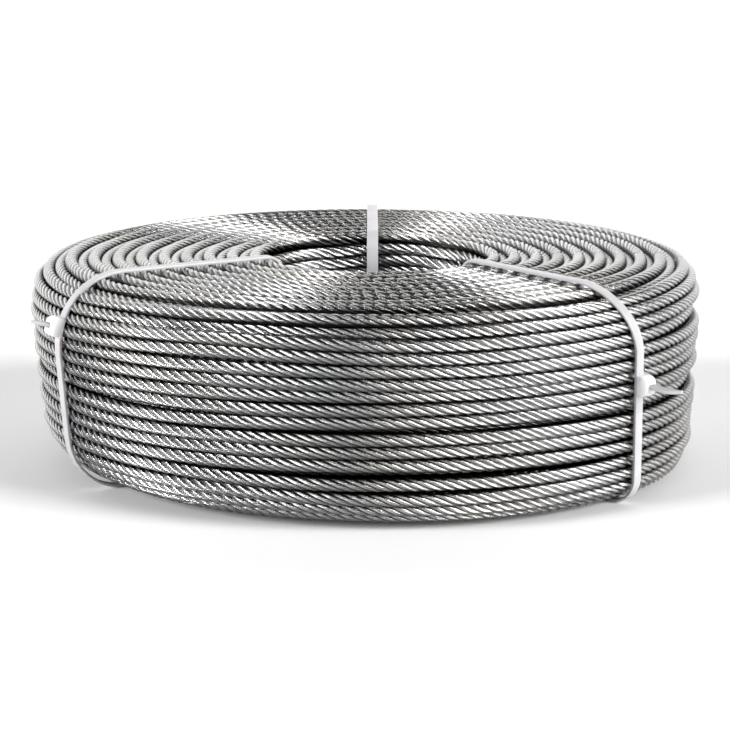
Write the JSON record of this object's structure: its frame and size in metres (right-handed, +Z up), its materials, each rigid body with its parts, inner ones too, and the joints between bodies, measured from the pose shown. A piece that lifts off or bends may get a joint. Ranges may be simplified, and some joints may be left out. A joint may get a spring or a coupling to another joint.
{
  "type": "coil of wire rope",
  "caption": "Coil of bright steel stranded wire rope, wound in neat layers round an open bore and bound across its section with white cable ties.",
  "frame": {"origin": "on the coil's axis, level with the undersides of the ties that carry it", "axes": "+Z up along the coil's axis, with the coil lying flat; -Y is the front, between the two ties whose heads show in the picture; +X is to its right"},
  "size_m": [0.2098, 0.2121, 0.0668],
  "materials": {
    "steel_rope": "bright drawn steel wire, laid into strands",
    "nylon": "natural white moulded nylon, satin"
  },
  "bodies": {
    "root": {"wire_rope_coil": "steel_rope", "cable_tie_back": "nylon", "cable_tie_left": "nylon", "cable_tie_right": "nylon"}
  },
  "joints": []
}
